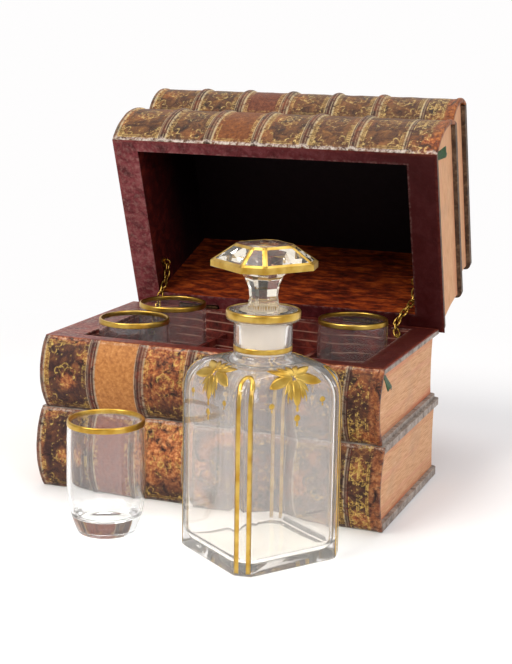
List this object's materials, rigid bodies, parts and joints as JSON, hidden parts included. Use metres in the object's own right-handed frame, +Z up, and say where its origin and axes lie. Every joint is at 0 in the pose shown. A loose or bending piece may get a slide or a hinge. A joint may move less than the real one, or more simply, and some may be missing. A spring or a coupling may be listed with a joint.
{
  "type": "tantalus",
  "caption": "Case bound as a stack of old leather books, whose hinged lid opens on a tray for a square cut-glass decanter and gilt-rimmed tumblers",
  "frame": {"origin": "centre of the underside of the closed base", "axes": "+Z up, +Y to the back, where the hinges are, +X to the right seen from the front"},
  "size_m": [0.2365, 0.324, 0.2565],
  "materials": {
    "spine_calf": "mottled dark calf, worn to red-brown, gilt tooled",
    "cover_boards": "leather covered boards with worn grey-brown edges",
    "page_edges": "aged page edges, tan-pink with red streaks",
    "rim_leather": "smooth burgundy leather",
    "lining_leather": "dark leather lining",
    "carcass_wood": "plain pine",
    "ribbon_silk": "frayed green silk ribbon",
    "brass": "aged brass",
    "clear_glass": "clear glass with gilding"
  },
  "bodies": {
    "base": {"bottom_board": "cover_boards", "book1_spine": "spine_calf", "book1_front_wall": "carcass_wood", "book1_left_pages": "page_edges", "book1_right_pages": "page_edges", "book1_back_pages": "page_edges", "book1_top_board": "cover_boards", "book2_bottom_board": "cover_boards", "book2_spine": "spine_calf", "book2_front_wall": "carcass_wood", "book2_left_pages": "page_edges", "book2_right_pages": "page_edges", "book2_back_pages": "page_edges", "base_rim_board": "cover_boards", "base_rim_leather": "rim_leather", "base_lining": "lining_leather", "glass_decks": "carcass_wood", "deck_battens": "carcass_wood", "well_side_dividers": "lining_leather", "well_cross_dividers": "lining_leather", "cell_dividers": "lining_leather", "hinge_left_base_leaf": "brass", "hinge_right_base_leaf": "brass", "hinge_left_pin": "brass", "hinge_right_pin": "brass", "base_hinge_screws": "brass", "base_chain_eyes": "brass", "chain_left": "brass", "chain_right": "brass", "base_ribbon": "ribbon_silk"},
    "lid": {"lid_rim_leather": "rim_leather", "lid_rim_board": "cover_boards", "book3_spine": "spine_calf", "book3_front_wall": "carcass_wood", "book3_left_pages": "page_edges", "book3_right_pages": "page_edges", "book3_back_pages": "page_edges", "book3_top_board": "cover_boards", "book4_bottom_board": "cover_boards", "book4_spine": "spine_calf", "book4_front_wall": "carcass_wood", "book4_left_pages": "page_edges", "book4_right_pages": "page_edges", "book4_back_pages": "page_edges", "top_board": "cover_boards", "lid_lining": "lining_leather", "hinge_left_lid_leaf": "brass", "hinge_right_lid_leaf": "brass", "lid_hinge_screws": "brass", "lid_chain_eyes": "brass", "lid_ribbon": "ribbon_silk"},
    "decanter": {"decanter": "clear_glass"},
    "stopper": {"stopper": "clear_glass"},
    "tumbler_left_front": {"tumbler_left_front": "clear_glass"},
    "tumbler_left_back": {"tumbler_left_back": "clear_glass"},
    "tumbler_right_back": {"tumbler_right_back": "clear_glass"},
    "tumbler_on_table": {"tumbler_on_table": "clear_glass"}
  },
  "joints": [
    {"name": "lid_hinge", "type": "hinge", "parent": "base", "child": "lid", "pos_m": [0, 0.0649, 0.102], "axis": [-1, 0, 0], "range_deg": [-71, 0], "deforming": ["chain_left", "chain_right"]},
    {"name": "decanter_lift", "type": "slide", "parent": "base", "child": "decanter", "axis": [0, 0, 1], "range_m": [0, 0.15]},
    {"name": "stopper_lift", "type": "slide", "parent": "decanter", "child": "stopper", "axis": [0, 0, 1], "range_m": [0, 0.06]},
    {"name": "tumbler_left_front_lift", "type": "slide", "parent": "base", "child": "tumbler_left_front", "axis": [0, 0, 1], "range_m": [0, 0.1]},
    {"name": "tumbler_left_back_lift", "type": "slide", "parent": "base", "child": "tumbler_left_back", "axis": [0, 0, 1], "range_m": [0, 0.1]},
    {"name": "tumbler_right_back_lift", "type": "slide", "parent": "base", "child": "tumbler_right_back", "axis": [0, 0, 1], "range_m": [0, 0.1]},
    {"name": "tumbler_on_table_lift", "type": "slide", "parent": "base", "child": "tumbler_on_table", "axis": [0, 0, 1], "range_m": [0, 0.15]}
  ]
}
